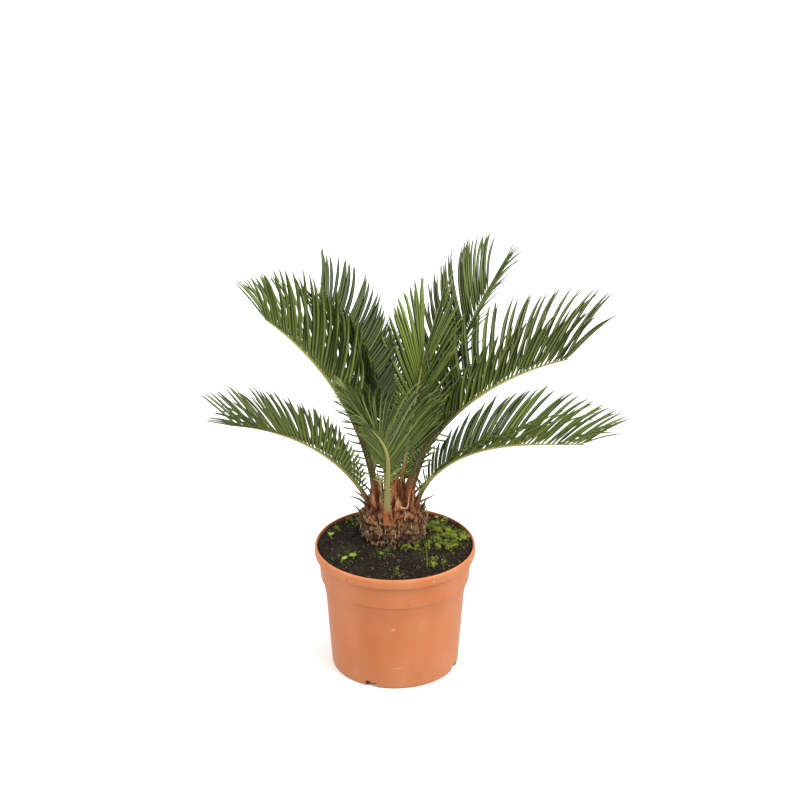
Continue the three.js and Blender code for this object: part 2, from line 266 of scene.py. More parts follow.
def inner_wall():
    return [
        (RIM_RADIUS - WALL - 1, RIM_FOOT + 4.2), (RIM_RADIUS - WALL - 5.6, COLLAR_HEIGHT + 16),
        (FOOT_RADIUS + 12.2 - WALL, COLLAR_HEIGHT), (FOOT_RADIUS + 6.3 - WALL, COLLAR_HEIGHT - 24),
        (FOOT_RADIUS - 0.1 - WALL, FLOOR_TOP),
    ]


def pot_outline():
    outer = [
        (FOOT_RADIUS - 1.8, 0), (FOOT_RADIUS - 0.5, 0.6), (FOOT_RADIUS, 2.4),
        (FOOT_RADIUS + 6.5, COLLAR_HEIGHT - 24), (FOOT_RADIUS + 7.8, COLLAR_HEIGHT - 16),
        (FOOT_RADIUS + 10.6, COLLAR_HEIGHT - 3.5), (FOOT_RADIUS + 10.8, COLLAR_HEIGHT - 1.3),
        (FOOT_RADIUS + 12.2, COLLAR_HEIGHT - 1.6), (FOOT_RADIUS + 12.6, COLLAR_HEIGHT),
        (RIM_RADIUS - 5.5, COLLAR_HEIGHT + 16), (RIM_RADIUS - 3.6, RIM_FOOT + 0.6),
        (RIM_RADIUS - 1.2, RIM_FOOT), (RIM_RADIUS - 0.2, RIM_FOOT + 1.8), (RIM_RADIUS, RIM_FOOT + 4.2),
        (RIM_RADIUS, POT_HEIGHT - 3.6),
        (RIM_RADIUS - 0.5, POT_HEIGHT - 1.6), (RIM_RADIUS - 1.3, POT_HEIGHT - 0.4),
        (RIM_RADIUS - WALL - 0.3, POT_HEIGHT), (RIM_RADIUS - WALL - 1, POT_HEIGHT - 1),
    ]
    underside = [(0, 0), (30, 0), (31, 3), (FOOT_RADIUS - 9.5, 3), (FOOT_RADIUS - 8.5, 0)]
    return underside + outer + inner_wall() + [(0, FLOOR_TOP)]


def spun(outline, turns):
    bm = bmesh.new()
    verts = [bm.verts.new((radius * MM, 0, height * MM)) for radius, height in outline]
    edges = [bm.edges.new(pair) for pair in zip(verts, verts[1:])]
    bmesh.ops.spin(bm, geom=verts + edges, cent=(0, 0, 0), axis=(0, 0, 1), angle=math.tau,
                   steps=turns, use_merge=True)
    bmesh.ops.remove_doubles(bm, verts=bm.verts, dist=0.01 * MM)
    bmesh.ops.recalc_face_normals(bm, faces=bm.faces)
    return bm


def ring_edges(bm, least_angle):
    def level(edge):
        return abs(edge.verts[0].co.z - edge.verts[1].co.z) < 0.01 * MM

    return [edge for edge in bm.edges if level(edge) and edge.verts[0].co.xy.length > 5 * MM
            and edge.calc_face_angle(0) > math.radians(least_angle)]


def finished_mesh(shape):
    """The mesh of an object as its modifiers or its curve leave it."""
    bpy.context.view_layer.update()
    return bpy.data.meshes.new_from_object(shape.evaluated_get(bpy.context.evaluated_depsgraph_get()))


def sized(across, deep, tall):
    return Matrix.Diagonal((across * MM, deep * MM, tall * MM, 1))


def cut_notches(pot):
    bm = bmesh.new()
    for i in range(NOTCHES["count"]):
        turn = math.radians(NOTCHES["first"] + 360 / NOTCHES["count"] * i)
        size = sized(NOTCHES["depth"], NOTCHES["width"], 2 * NOTCHES["height"])
        place = Matrix.Rotation(turn, 4, "Z") @ Matrix.Translation((FOOT_RADIUS * MM, 0, 0))
        cut = bmesh.ops.create_cube(bm, size=1, matrix=place @ size)
        edges = list(dict.fromkeys(edge for vert in cut["verts"] for edge in vert.link_edges))
        bmesh.ops.subdivide_edges(bm, edges=edges, cuts=5, use_grid_fill=True)
    for vert in bm.verts:
        vert.co += noise.noise_vector(vert.co * 190) * NOTCHES["ragged"] * MM
    cutter = new_piece("notch_cutter", mesh_from("notch_cutter", bm), [])
    cut = pot.modifiers.new("notches", "BOOLEAN")
    cut.operation = "DIFFERENCE"
    cut.solver = "EXACT"
    cut.object = cutter
    shape = finished_mesh(pot)
    pot.modifiers.clear()
    pot.data = shape
    bpy.data.objects.remove(cutter)


def mould_pot():
    bm = spun(pot_outline(), POT_TURNS)
    bmesh.ops.bevel(bm, geom=ring_edges(bm, 3), offset=0.6 * MM, offset_type="OFFSET", segments=3,
                    profile=0.5, affect="EDGES", material=-1, clamp_overlap=True)
    pot = new_piece("grower_pot", mesh_from("grower_pot", bm), [moulded_polypropylene()])
    cut_notches(pot)
    smooth_all(pot.data, 32)
    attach(pot, "root")
    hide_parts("pot")


mould_pot()


# The soil: damp black peat that fills the pot to just under its rim and rises to the trunk,
# loose and lumpy on top, with crumbs, bits of straw, cushions of moss and a few seedlings.

SOIL_EDGE = 151.5
SOIL_CROWN = 158
SOIL_GAP = 0.5
SOIL_TURNS = 200
SOIL_RINGS = 64
LUMP_SPAN = 13
LUMP_HEIGHT = 1.9
LUMP_LIMIT = 2.6
TRUNK_PLACE = (-2, 15)
TRUNK_GIRTH = 33
CRUMBS = 2600
STRAWS = 80
PEAT_BLACK = "#17100A"
PEAT_BROWN = "#36271A"
PEAT_FIBRE = "#5E4830"
ALGAE_GREEN = "#33331A"
CRUMB_COLOURS = ["#140E08", "#251A0F", "#3F2D1C", "#5A432B"]
STRAW_COLOURS = ["#6E573A", "#4F3B26", "#8C7148"]
MOSS_COLOURS = ["#343E16", "#56621C", "#7E8A28", "#A4AC3C"]
SEEDLING_GREENS = ["#8A9C34", "#76882E"]
# Each cushion's place, spread, number of shoots and brightness.
MOSS_CUSHIONS = {
    "right_front": (58, -4, 24, 1560, 0.62), "right_middle": (64, 22, 24, 1800, 0.8),
    "right_by_trunk": (46, 40, 15, 900, 0.85), "rim_right": (82, 16, 9, 390, 0.75),
    "trunk_front": (13, -20, 8, 330, 0.7), "left_back": (-48, 56, 16, 540, 0.35),
    "left": (-70, 36, 15, 300, 0.15), "front_trail": (30, -14, 18, 600, 0.4),
    "front_left": (-12, -30, 26, 510, 0.12), "front_edge": (4, -74, 16, 270, 0.15),
    "left_front": (-56, -40, 22, 360, 0.15), "back": (10, 74, 20, 480, 0.4),
    "foot": (24, -19, 8, 480, 0.9), "front_right": (46, -52, 18, 450, 0.3),
}
# Seedlings: place, leaf radius and number of leaves. Stems are each drawn from root to tip.
SEEDLINGS = ((-62, -50, 3.4, 1), (-49, -45, 2.3, 5), (-76, 13, 2.0, 3), (57, 50, 1.6, 3),
             (50, 57, 1.4, 3), (61, 58, 1.5, 3), (20, 70, 1.6, 2), (-40, 66, 1.8, 3))
STEMS = [
    ((37, -60, 151), (37.5, -60, 162), (37, -61, 173), (35.5, -61, 184)),
    ((41, -55, 151), (42, -55, 158), (44, -55, 164), (49, -56, 167)),
    ((55, 53, 151), (56, 53, 157), (57, 52, 162), (60, 51, 166)),
    ((52, 50, 151), (52, 50, 157), (50, 50, 162), (48, 51, 166)),
    ((62, 56, 151), (62, 56, 156), (64, 56, 161), (67, 57, 163)),
    ((-74, 11, 151), (-75, 11, 156), (-77, 11, 160), (-80, 12, 162)),
]


def from_trunk(x, y):
    return math.hypot(x - TRUNK_PLACE[0], y - TRUNK_PLACE[1])


def ramp(value, first, last):
    return min(max((value - first) / (last - first), 0), 1)


def soil_height(x, y):
    reach = math.hypot(x, y)
    level = SOIL_CROWN + (SOIL_EDGE - SOIL_CROWN) * ramp(reach, 52, 92)
    near_rim = max(ramp(reach, 91.5, 86.5), 0.15)
    near_trunk = max(ramp(from_trunk(x, y), 30, 38), 0.1)
    lumps = noise.fractal(Vector((x, y, 0)) / LUMP_SPAN, 1.0, 2.1, 5) * LUMP_HEIGHT
    return level + min(lumps * near_rim * near_trunk, LUMP_LIMIT)


def on_peat(x, y, above):
    return Matrix.Translation(Vector((x, y, soil_height(x, y) + above)) * MM)


def arrays_of(mesh):
    """A small mesh's corners, and its faces' corner numbers, starts and slots."""
    corners = np.empty(len(mesh.vertices) * 3)
    loops = np.empty(len(mesh.loops), dtype=np.int32)
    starts, slots = np.empty((2, len(mesh.polygons)), dtype=np.int32)
    mesh.vertices.foreach_get("co", corners)
    mesh.loops.foreach_get("vertex_index", loops)
    mesh.polygons.foreach_get("loop_start", starts)
    mesh.polygons.foreach_get("material_index", slots)
    return corners.reshape(-1, 3), loops, starts, slots


def copies_of(name, template, placements, materials, smooth):
    """Joins one copy of a small mesh for each matrix and slot."""
    corners, loops, starts, slots = arrays_of(template)
    corners = np.c_[corners, np.ones(len(corners))]
    points = [corners @ np.array(matrix).T[:, :3] for matrix, _ in placements]
    dealt = [slots + slot for _, slot in placements]
    return arrayed_piece(name, points, loops, starts, dealt, materials, smooth)


def arrayed_piece(name, points, loops, starts, slots, materials, smooth):
    copies = len(points)
    count = len(points[0])
    mesh = bpy.data.meshes.new(name)
    mesh.vertices.add(copies * count)
    mesh.loops.add(copies * len(loops))
    mesh.polygons.add(copies * len(starts))
    mesh.vertices.foreach_set("co", np.concatenate(points).ravel())
    steps = np.arange(copies)[:, None]
    mesh.loops.foreach_set("vertex_index", (loops[None] + steps * count).ravel())
    mesh.polygons.foreach_set("loop_start", (starts[None] + steps * len(loops)).ravel())
    mesh.polygons.foreach_set("material_index", np.concatenate(slots))
    mesh.update(calc_edges=True)
    mesh.validate()
    piece = new_piece(name, mesh, materials)
    if smooth:
        smooth_all(mesh, smooth)
    return piece


# Stems, spines and strands: each is drawn through its points and thins toward its tip.
def drawn_strands(name, strands, materials):
    curve = bpy.data.curves.new(name, "CURVE")
    curve.dimensions = "3D"
    curve.bevel_depth = MM
    curve.bevel_resolution = 1
    curve.use_fill_caps = True
    for material in materials:
        curve.materials.append(material)
    for points, thickness, slot in strands:
        spline = curve.splines.new("NURBS")
        spline.points.add(len(points) - 1)
        for i, point in enumerate(points):
            spline.points[i].co = (*(Vector(point) * MM), 1)
            spline.points[i].radius = thickness / 2 * (1 - 0.8 * (i / (len(points) - 1)) ** 2)
        spline.order_u = 3
        spline.use_endpoint_u = True
        spline.resolution_u = 5
        spline.material_index = slot
    drawn = bpy.data.objects.new(name, curve)
    bpy.context.scene.collection.objects.link(drawn)
    mesh = finished_mesh(drawn)
    bpy.data.objects.remove(drawn)
    smooth_all(mesh, 50)
    return new_piece(name, mesh, [])


# Peat: matt and light-drinking, clotted a few millimetres across, with paler fibres in it and
# a dull green film of algae here and there.
def damp_peat():
    peat = new_material("damp_peat", PEAT_BLACK, Roughness=0.95, Specular_IOR_Level=0.15)
    place = object_place(peat)
    clots = mottling(peat, place, 170, Detail=8, Roughness=0.68)
    fibres = mottling(peat, place, 520, Detail=4, Distortion=1.5)
    film = mottling(peat, place, 34, Detail=5, Roughness=0.6)
    colour = blend_colours(peat, spread_out(peat, clots, 0.45, 0.72), PEAT_BLACK, PEAT_BROWN)
    colour = blend_colours(peat, spread_out(peat, fibres, 0.66, 0.76, 0, 0.5), colour, PEAT_FIBRE)
    colour = blend_colours(peat, spread_out(peat, film, 0.52, 0.66, 0, 0.6), colour, ALGAE_GREEN)
    link_shader(peat, Base_Color=colour, Normal=relief_of(peat, clots, 0.8, 0.0015))
    return peat


def plain_tones(name, colours, **sockets):
    return [new_material(f"{name}_{i + 1}", colour, **sockets) for i, colour in enumerate(colours)]


def fill_soil():
    side = [(radius - SOIL_GAP, height) for radius, height in reversed(inner_wall())]
    bottom = FLOOR_TOP + 0.6
    side[0] = (side[0][0], bottom)
    edge = side[-1][0]
    top = [(edge - edge * i / SOIL_RINGS, SOIL_EDGE) for i in range(SOIL_RINGS + 1)]
    bm = spun([(0, bottom)] + side + top, SOIL_TURNS)
    for vert in bm.verts:
        if vert.co.z > (SOIL_EDGE - 1) * MM:
            vert.co.z = soil_height(vert.co.x / MM, vert.co.y / MM) * MM
    soil = new_piece("peat", mesh_from("peat", bm), [damp_peat()])
    smooth_all(soil.data, 60)
    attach(soil, "root")
    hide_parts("soil")


def strew(name, template, placements, materials, smooth):
    piece = copies_of(name, template, placements, materials, smooth)
    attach(piece, "root")


def on_soil(rng, reach):
    while True:
        x, y = rng.uniform(-reach, reach), rng.uniform(-reach, reach)
        if math.hypot(x, y) < reach and from_trunk(x, y) > TRUNK_GIRTH:
            return x, y


def turned_any_way(rng):
    turn = Vector([rng.gauss(0, 1) for _ in range(4)]).normalized()
    return turn.xyz.to_track_quat("Z", "Y").to_matrix().to_4x4()


# Crumbs: clods of peat up to two and a half millimetres across, squashed and dusty.
def strew_crumbs():
    rng = random.Random(4)
    bm = bmesh.new()
    bmesh.ops.create_icosphere(bm, subdivisions=1, radius=1)
    for vert in bm.verts:
        vert.co *= 1 + 0.5 * noise.noise(vert.co * 1.7)
    template = mesh_from("crumb", bm)
    placements = []
    for _ in range(CRUMBS):
        x, y = on_soil(rng, 89)
        size = 0.5 + 2.0 * rng.random() ** 4
        squash = sized(size, size * rng.uniform(0.6, 1), size * 0.75)
        place = on_peat(x, y, 0.2 * size) @ turned_any_way(rng) @ squash
        placements.append((place, rng.choices(range(4), (6, 5, 1.4, 0.4))[0]))
    strew("soil_crumbs", template, placements,
          plain_tones("soil_crumb", CRUMB_COLOURS, Roughness=0.9), 0)


# Straw: dry, faded splinters of stalk that lie nearly flat.
def strew_straw():
    rng = random.Random(9)
    bm = bmesh.new()
    bmesh.ops.create_cone(bm, cap_ends=True, segments=4, radius1=0.5, radius2=0.25, depth=1)
    template = mesh_from("straw", bm)
    placements = []
    for _ in range(STRAWS):
        x, y = on_soil(rng, 86)
        length = rng.uniform(3, 11)
        turn = Matrix.Rotation(rng.uniform(0, math.tau), 4, "Z")
        lean = Matrix.Rotation(rng.gauss(1.52, 0.1), 4, "Y")
        place = on_peat(x, y, 0.9) @ turn @ lean @ sized(0.5, 0.9 * rng.random(), length)
        placements.append((place, rng.randrange(3)))
    strew("soil_straw", template, placements, plain_tones("straw", STRAW_COLOURS, Roughness=0.8), 0)


# Moss: cushions of upright shoots two to five millimetres tall, each a few pointed blades.
def grow_moss():
    rng = random.Random(21)
    bm = bmesh.new()
    for i in range(5):
        lean = Matrix.Rotation(i * 1.257, 4, "Z") @ Matrix.Rotation(0.42 + 0.1 * (i % 2), 4, "Y")
        bmesh.ops.create_cone(bm, cap_ends=True, segments=3, radius1=0.2, radius2=0.03, depth=1,
                              matrix=lean @ Matrix.Translation((0, 0, 0.5)))
    template = mesh_from("moss_shoot", bm)
    placements = []
    for x0, y0, spread, count, bright in MOSS_CUSHIONS.values():
        for _ in range(count):
            far = rng.gauss(0, 0.42)
            turn = rng.uniform(0, math.tau)
            x, y = x0 + spread * far * math.cos(turn), y0 + spread * far * math.sin(turn)
            clump = noise.noise(Vector((x, y, 7)) / 6)
            if math.hypot(x, y) > 90.2 or from_trunk(x, y) < TRUNK_GIRTH or clump < -0.14:
                continue
            tall = rng.uniform(1.6, 3.6) * (0.8 + 0.6 * bright)
            place = on_peat(x, y, 1.6 * max(clump, 0) - 0.3) @ Matrix.Rotation(turn * 3, 4, "Z")
            tone = min(3, max(0, int(rng.gauss(bright * 2.4 + 4 * clump, 0.9))))
            placements.append((place @ sized(tall * 0.6, tall * 0.6, tall), tone))
    strew("moss", template, placements, plain_tones("moss", MOSS_COLOURS, Roughness=0.7), 0)


# Seedlings: young weeds, with round cupped leaves on hair-thin stems.
def sow_seedlings():
    bm = bmesh.new()
    bmesh.ops.create_circle(bm, cap_ends=True, segments=12, radius=1)
    for vert in bm.verts:
        vert.co = (vert.co.x + 1, vert.co.y, 0.15 * vert.co.y ** 2 + 0.2 * vert.co.x)
    bmesh.ops.solidify(bm, geom=bm.faces[:], thickness=0.14)
    template = mesh_from("seed_leaf", bm)
    placements, stems = [], [(stem, 0.9, 0) for stem in STEMS]
    for i, (x, y, radius, leaves) in enumerate(SEEDLINGS):
        ground = soil_height(x, y)
        top = ground + 4 + radius
        stems.append(([(x, y, ground - 1), (x + 0.6, y, ground + 2), (x, y, top)], 0.9, 0))
        for j in range(leaves):
            turn = Matrix.Rotation(1.3 * i + math.tau * j / leaves, 4, "Z")
            place = Matrix.Translation((x * MM, y * MM, top * MM)) @ turn
            placements.append((place @ Matrix.Scale(radius * MM, 4), i % 2))
    greens = plain_tones("seedling", SEEDLING_GREENS, Roughness=0.6)
    strew("seedling_leaves", template, placements, greens, 30)
    stems = drawn_strands("seedling_stems", stems, greens[:1])
    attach(stems, "root")


fill_soil()
strew_crumbs()
strew_straw()
grow_moss()
sow_seedlings()


# The fronds: each has a rib that is flat and woolly at its foot and yellow-green further out,
# with two rows of narrow leathery leaflets set in a V, which bend toward the frond's tip.

SINK = 9
RIB_PLACES = (0, 0.1, 0.3, 0.6, 0.85, 1)
RIB_HALF_SIDES = (5.2, 4.4, 3.5, 2.4, 1.5, 0.9)
RIB_DEPTH = 0.85
RIB_STEPS = 44
RIB_SIDES = 10
FLARE = 0.8
FLARE_LENGTH = 10
LEAFLET_WIDTH = 3.7
LEAFLET_THICKNESS = 0.55
LEAFLET_FOLD = 0.4
LEAF_GREENS = ["#2D3619", "#434F22", "#576526", "#6E7E2F", "#8A9762"]
LEAF_UNDERSIDE = "#7C8A3E"
LEAF_MIDRIB = "#8C9648"
LEAF_TIP_BROWN = "#7A6238"
RIB_GREEN = "#B0AC64"
RIB_OLIVE = "#827E4C"
RIB_BROWN = "#3F391C"
RIB_FLECK = "#4E4A26"
WOOL_RUST = "#AA663E"
WOOL_BROWN = "#5E331D"
THORN_PALE = "#B4B88C"
THORN_PITCH = 2.6

# Each frond's own habit, in millimetres and degrees. The angles in threes hold at its foot,
# middle and tip. A row is left or right as seen from the foot, and takes the frond's values
# where it gives none of its own.
# A row's tones weight the five leaf greens, darkest first. Besides real variation, they lean to the dark
# greens on rows that lie in the crown's shade and to the light greens on some rows that face away from the
# lamps: painted shade and painted light.
EVERY_ROW = dict(pairs=40, spiny=0, spine_lift=-65, hooked=0, hook=0, folded=1, broad=1,
                 scatter=1.8, shoulder=0.62, deep=0, painted_shade=False, tones=(2, 4, 4, 1, 0))
FRONDS = [
    dict(name="frond_01", foot=(-29, 17, 196), azimuth=176, swing=4, rise=(66, 31, 5),
         roll=(-10, 15, 0), length=196, start=0.1, full=0.35, tip=0.85, thick=(0.8, 0.8, 0.8),
         leaflet=80, spread=(75, 56, 20), lift=(10, 32, 48), bend=10, droop=2, wool=14,
         left=dict(lift=(75, 55, 52), tones=(0, 1, 4, 5, 0), full=0.75, spread=(80, 60, 12), tip=0.5),
         right=dict(pairs=36, tones=(6, 4, 1, 0, 0), spread=(75, 58, 38), tip=0.75)),
    dict(name="frond_02", foot=(-21, 16, 203), azimuth=176, swing=4, rise=(84, 61, 37),
         roll=(-45, 15, 15), length=270, start=0.12, full=0.4, tip=0.5, thick=(1.2, 1.2, 1.2),
         leaflet=127, spread=(58, 50, 46), lift=(5, 40, 50), bend=16, droop=2, wool=26,
         left=dict(spiny=0.34, broad=1.3, leaflet=136, pairs=48, tip=0.45, tones=(0, 2, 5, 4, 1)),
         right=dict(pairs=46, tones=(0, 2, 5, 4, 2), spread=(40, 46, 42), lift=(5, 34, 22), full=0.3,
                    broad=1.2)),
    dict(name="frond_03", foot=(-9, 22, 206), azimuth=140, swing=12, rise=(87, 71, 18),
         roll=(0, 5, 5), length=250, start=0.28, full=1.1, tip=1, thick=(0.8, 0.6, 0.8),
         leaflet=84, spread=(95, 76, 70), lift=(15, 40, 55), bend=20, droop=2, wool=42,
         left=dict(pairs=48, hooked=0.6, hook=30, tones=(0, 4, 5, 2, 0), spread=(60, 50, 36),
                   lift=(50, 60, 60), leaflet=80, tip=0.4, broad=1.2),
         right=dict(pairs=58, tones=(5, 5, 1, 0, 0), deep=0.42, broad=1.4, spread=(50, 66, 62), painted_shade=True)),
    dict(name="frond_04", foot=(-4, 39, 200), azimuth=95, swing=0, rise=(68, 32, 5),
         roll=(0, 0, 0), length=205, start=0.09, full=0.6, tip=0.5, thick=(0.9, 0.9, 0.9),
         leaflet=84, spread=(85, 60, 30), lift=(12, 50, 50), bend=18, droop=10, wool=26,
         tones=(6, 4, 1, 0, 0), painted_shade=True, left={}, right={}),
    dict(name="frond_05", foot=(-8, -18, 197), azimuth=-72, swing=-92, rise=(108, 52, 68),
         roll=(0, 0, 0), length=218, start=0.2, full=0.3, tip=0.4, thick=(0.7, 0.62, 0.1),
         leaflet=78, spread=(50, 42, 16), lift=(25, 45, 45), bend=4, droop=6, wool=12,
         left=dict(pairs=72, spiny=0.11, spine_lift=20, tones=(1, 4, 4, 1, 2), hooked=1, hook=50,
                   folded=0.5, broad=0.55, shoulder=0.8, scatter=4, leaflet=100, full=0.14, tip=0.2,
                   spread=(56, 44, 30), lift=(28, 62, 75)),
         right=dict(pairs=80, spiny=0.08, spine_lift=0, tones=(0, 1, 2, 4, 5), hooked=1, hook=30, broad=0.5,
                    scatter=7, spread=(30, 12, 8), lift=(30, 0, 0))),
    dict(name="frond_06", foot=(25, 13, 197), azimuth=-6, swing=6, rise=(80, 16, 0),
         roll=(8, -8, -8), length=233, start=0.08, full=0.6, tip=0.7, thick=(0.85, 0.85, 0.85),
         leaflet=82, spread=(75, 55, 40), lift=(20, 52, 70), bend=18, droop=6, wool=14,
         left=dict(pairs=38, spiny=0.08, spine_lift=60, tones=(0, 4, 5, 1, 0), painted_shade=True, broad=1.15,
                   spread=(66, 54, 34), leaflet=92),
         right=dict(pairs=50, spiny=0.12, spine_lift=50, hooked=0.4, hook=60, full=0.8, scatter=8,
                    broad=0.8, spread=(30, 46, 40), tones=(0, 0, 3, 5, 3))),
    dict(name="frond_07", foot=(13, 16, 207), azimuth=3, swing=-8, rise=(80, 42, 15),
         roll=(30, 0, 0), length=272, start=0.14, full=0.4, tip=1, thick=(1.15, 1.15, 1.15),
         leaflet=102, spread=(72, 67, 46), lift=(12, 55, 60), bend=20, droop=4, wool=25,
         left=dict(tones=(5, 4, 1, 0, 0), broad=1.3),
         right=dict(pairs=46, spiny=0.26, hooked=0.5, hook=14, broad=1.3, spread=(48, 54, 46), bend=8)),
    dict(name="frond_08", foot=(16, 30, 206), azimuth=44, swing=0, rise=(60, 62, 50),
         roll=(0, -4, 0), length=262, start=0.13, full=0.8, tip=0.6, thick=(1, 1, 1),
         leaflet=115, spread=(75, 46, 30), lift=(24, 50, 38), bend=26, droop=20, wool=40,
         left=dict(pairs=60, broad=1.3, tones=(5, 5, 1, 0, 0)),
         right=dict(tones=(0, 2, 5, 2, 0), spread=(60, 32, 18), hooked=0.8, hook=35)),
    dict(name="frond_09", foot=(6, 24, 204), azimuth=58, swing=10, rise=(76, 69, 62),
         roll=(0, 8, 20), length=176, start=0.12, full=0.3, tip=1, thick=(0.8, 0.8, 0.8),
         leaflet=104, spread=(46, 36, 8), lift=(15, 38, 40), bend=6, droop=6, wool=42,
         left=dict(tones=(0, 2, 3, 4, 0), spread=(56, 46, 12), leaflet=94, pairs=40, broad=2.2,
                   shoulder=0.85),
         right=dict(tones=(0, 2, 4, 4, 0), broad=1.6, shoulder=0.75)),
]
# The share of its rib that has gone brown, on the old fronds.
BROWNED = {"frond_02": 0.5, "frond_03": 1.2, "frond_04": 1.2, "frond_07": 0.5, "frond_08": 0.5}
UNBROWNED = -1


def through_three(values, at):
    first, middle, last = values
    return first * 2 * (at - 0.5) * (at - 1) - middle * 4 * at * (at - 1) + last * 2 * at * (at - 0.5)


class Rib:
    """The middle line of a frond: its points, directions and half widths, in millimetres."""

    def __init__(self, frond):
        self.frond = frond
        self.steps = 240
        self.points = [Vector(frond["foot"])]
        for i in range(self.steps):
            along = self.directions((i + 0.5) / self.steps)[0]
            self.points.append(self.points[-1] + along * frond["length"] / self.steps)

    def directions(self, at):
        here = max(at, 0)
        slope = math.radians(through_three(self.frond["rise"], here))
        turn = math.radians(self.frond["azimuth"] + self.frond["swing"] * here ** 1.5)
        lean = math.radians(through_three(self.frond["roll"], here))
        level = Vector((math.cos(turn), math.sin(turn), 0))
        along = level * math.cos(slope) + Vector((0, 0, math.sin(slope)))
        flat_up = Vector((0, 0, math.cos(slope))) - level * math.sin(slope)
        flat_side = Vector((-math.sin(turn), math.cos(turn), 0))
        up = flat_up * math.cos(lean) - flat_side * math.sin(lean)
        side = flat_side * math.cos(lean) + flat_up * math.sin(lean)
        return along, up, side

    def point(self, at):
        if at <= 0:
            return self.points[0] + self.directions(0)[0] * at * self.frond["length"]
        place = min(at * self.steps, self.steps - 1e-6)
        index = int(place)
        return self.points[index].lerp(self.points[index + 1], place - index)

    def half_side(self, at):
        thick = through_three(self.frond["thick"], max(at, 0))
        return thick * float(np.interp(max(at, 0), RIB_PLACES, RIB_HALF_SIDES))


# Leaflet skin: a thick waxy cuticle over fine lengthwise veins, so a satin gloss that breaks
# up along the blade; each tone is one plain colour, dealt out leaflet by leaflet.
def waxy_leaf(name, colour, gloss):
    leaf = new_material(name, colour, Roughness=gloss, Specular_IOR_Level=0.36)
    veins = mottling(leaf, object_place(leaf), 700, Detail=3)
    link_shader(leaf, Normal=relief_of(leaf, veins, 0.15, 0.0002),
                Roughness=spread_out(leaf, veins, 0.3, 0.7, gloss - 0.07, gloss + 0.1))
    return leaf


def map_parts(material, name):
    mapped = add_node(material, "ShaderNodeUVMap", uv_map=name).outputs["UV"]
    parts = add_node(material, "ShaderNodeSeparateXYZ", links={"Vector": mapped})
    return parts.outputs["X"], parts.outputs["Y"]


# Rib skin: rust-brown wool at the foot, then smooth olive to yellow-green, with a little
# fleck and a darker lengthwise grain; on the old fronds the lower half has gone dark brown
# and scurfy. The map holds the distance over the woolly length, and the share of the length.
def rib_skin(name, browned):
    skin = new_material(name, RIB_GREEN, Roughness=0.5, Specular_IOR_Level=0.25)
    over_wool, over_length = map_parts(skin, "growth")
    place = object_place(skin)
    fleck = mottling(skin, place, 480, Detail=5)
    scurf = mottling(skin, place, 750, Detail=3, Roughness=0.7)
    fuzz = mottling(skin, place, 900, Detail=6, Distortion=1.0)
    woolly = spread_out(skin, reckon(skin, "ADD", over_wool, fleck), 1.75, 0.95)
    green = blend_colours(skin, spread_out(skin, over_length, 0.08, 0.5), RIB_OLIVE, RIB_GREEN)
    green = blend_colours(skin, spread_out(skin, fleck, 0.56, 0.72, 0, 0.55), green, RIB_FLECK)
    brown = blend_colours(skin, spread_out(skin, scurf, 0.56, 0.62), RIB_BROWN, RIB_OLIVE)
    edge = reckon(skin, "MULTIPLY_ADD", fleck, 0.5, over_length)
    green = blend_colours(skin, spread_out(skin, edge, browned + 0.4, browned + 0.1), green, brown)
    wool = blend_colours(skin, spread_out(skin, fuzz, 0.35, 0.65), WOOL_BROWN, WOOL_RUST)
    link_shader(skin, Base_Color=blend_colours(skin, woolly, green, wool),
                Normal=relief_of(skin, fuzz, 0.5, 0.0006),
                Roughness=spread_out(skin, woolly, 0, 1, 0.45, 0.95))
    return skin


def extrude_rib(rib, skin):
    frond = rib.frond
    bm = bmesh.new()
    rings = [bmesh.ops.create_circle(bm, segments=RIB_SIDES, radius=1)["verts"]]
    for _ in range(RIB_STEPS + 2):
        edges = [edge for edge in bm.edges if all(vert in rings[-1] for vert in edge.verts)]
        made = bmesh.ops.extrude_edge_only(bm, edges=edges)["geom"]
        step = {vert for vert in made if isinstance(vert, bmesh.types.BMVert)}
        rings.append([next(edge.other_vert(vert) for edge in vert.link_edges
                           if edge.other_vert(vert) in step) for vert in rings[-1]])
    places = [-SINK / frond["length"], -0.4 * SINK / frond["length"]]
    places += [i / RIB_STEPS for i in range(RIB_STEPS + 1)]
    growth = bm.loops.layers.uv.new("growth")
    distance = {}
    for at, verts in zip(places, rings):
        _, up, side = rib.directions(at)
        half = rib.half_side(at)
        flare = 1 + FLARE * math.exp(-max(at, 0) * frond["length"] / FLARE_LENGTH)
        for i, vert in enumerate(verts):
            turn = math.tau * i / len(verts)
            across, high = math.cos(turn) * flare, math.sin(turn) * RIB_DEPTH
            top = 0.75 if high > 0 else 1.0
            vert.co = (rib.point(at) + side * across * half + up * high * half * top) * MM
            distance[vert] = at * frond["length"]
    bmesh.ops.holes_fill(bm, edges=[edge for edge in bm.edges if edge.is_boundary], sides=0)
    bmesh.ops.recalc_face_normals(bm, faces=bm.faces)
    for face in bm.faces:
        for loop in face.loops:
            far = distance[loop.vert]
            loop[growth].uv = (far / frond["wool"], far / frond["length"])
    piece = new_piece(frond["name"] + "_rib", mesh_from(frond["name"] + "_rib", bm), [skin])
    smooth_all(piece.data, 50)
    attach(piece, "root")
    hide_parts(frond["name"])


# A leaflet's pattern: a thin closed strip, u along it from 0 to 1, v across it from -1 to 1,
# layer 1 on top and 0 beneath. Its middle column is the midrib, and its margins roll under,
# so that the dark upper skin also shows along both edges of the pale underside. The margin
# faces on both sides also take a green one step darker than the blade's: painted shade along
# the edges that turn away from the light.
LEAFLET_COLUMNS = (-1, -0.5, -0.13, 0.13, 0.5, 1)
LEAFLET_ROWS = 12
TOP, MIDRIB, UNDER, MARGIN = range(4)
KINDS = 4


